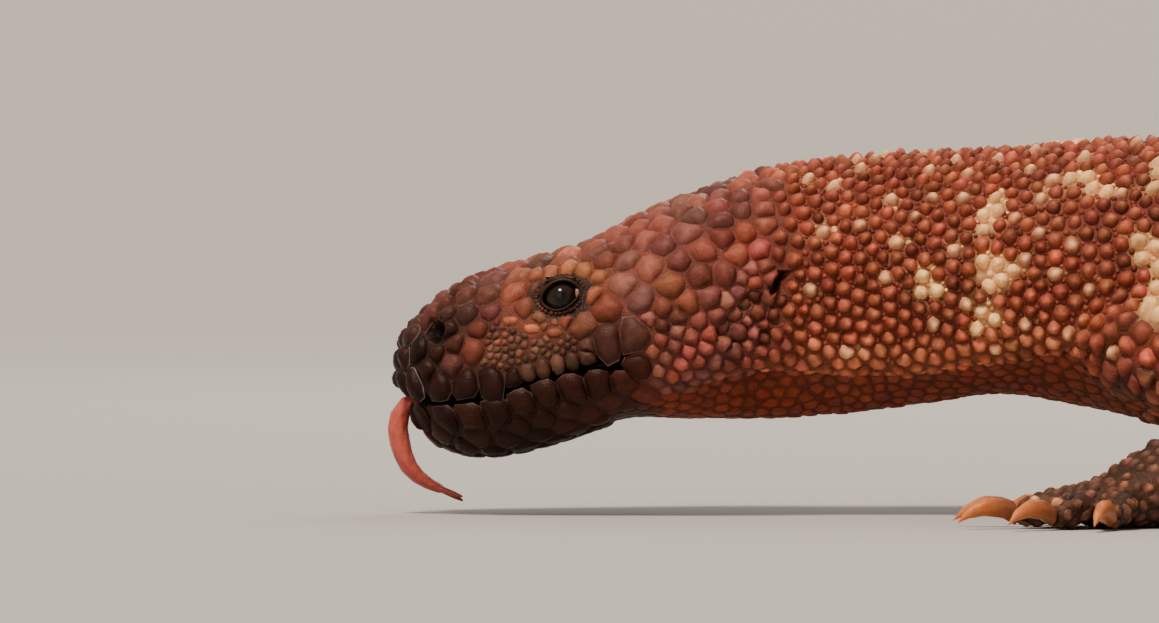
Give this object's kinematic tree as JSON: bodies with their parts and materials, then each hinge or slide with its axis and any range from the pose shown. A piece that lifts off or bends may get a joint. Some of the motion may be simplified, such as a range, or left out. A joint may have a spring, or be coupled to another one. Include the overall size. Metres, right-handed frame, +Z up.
{
  "type": "beaded lizard",
  "caption": "Life-size museum model of a beaded lizard walking with its head low and forked tongue out, resting on its feet and tail.",
  "frame": {"origin": "on the floor, under the middle of the animal's outline seen from above", "axes": "+Z up, -X the way the animal walks, -Y its left side"},
  "size_m": [0.641, 0.2302, 0.068],
  "materials": {
    "head_skin": "domed scales with a dull sheen, red-brown above and nearly black on the snout",
    "jaw_skin": "small dark scales with a dull sheen",
    "neck_skin": "round red-brown beads with scattered cream ones",
    "body_skin": "round brown beads with cream rosettes",
    "tail_skin": "round dark beads with pale yellow bands",
    "limb_skin": "small round dark beads with a few pale ones",
    "tongue": "moist",
    "eye": "wet gloss",
    "claw": "translucent horn"
  },
  "bodies": {
    "root": {"head": "head_skin", "lower_jaw": "jaw_skin", "tongue": "tongue", "eye_left": "eye", "eye_right": "eye", "neck": "neck_skin", "torso": "body_skin", "tail_base": "tail_skin", "tail_middle": "tail_skin", "tail_tip": "tail_skin", "upper_arm_fore_left": "limb_skin", "forearm_fore_left": "limb_skin", "hand_fore_left": "limb_skin", "upper_arm_fore_right": "limb_skin", "forearm_fore_right": "limb_skin", "hand_fore_right": "limb_skin", "thigh_hind_left": "limb_skin", "shin_hind_left": "limb_skin", "foot_hind_left": "limb_skin", "thigh_hind_right": "limb_skin", "shin_hind_right": "limb_skin", "foot_hind_right": "limb_skin", "claw_fore_left_1": "claw", "claw_fore_left_2": "claw", "claw_fore_left_3": "claw", "claw_fore_left_4": "claw", "claw_fore_left_5": "claw", "claw_fore_right_1": "claw", "claw_fore_right_2": "claw", "claw_fore_right_3": "claw", "claw_fore_right_4": "claw", "claw_fore_right_5": "claw", "claw_hind_left_1": "claw", "claw_hind_left_2": "claw", "claw_hind_left_3": "claw", "claw_hind_left_4": "claw", "claw_hind_left_5": "claw", "claw_hind_right_1": "claw", "claw_hind_right_2": "claw", "claw_hind_right_3": "claw", "claw_hind_right_4": "claw", "claw_hind_right_5": "claw"}
  },
  "joints": []
}
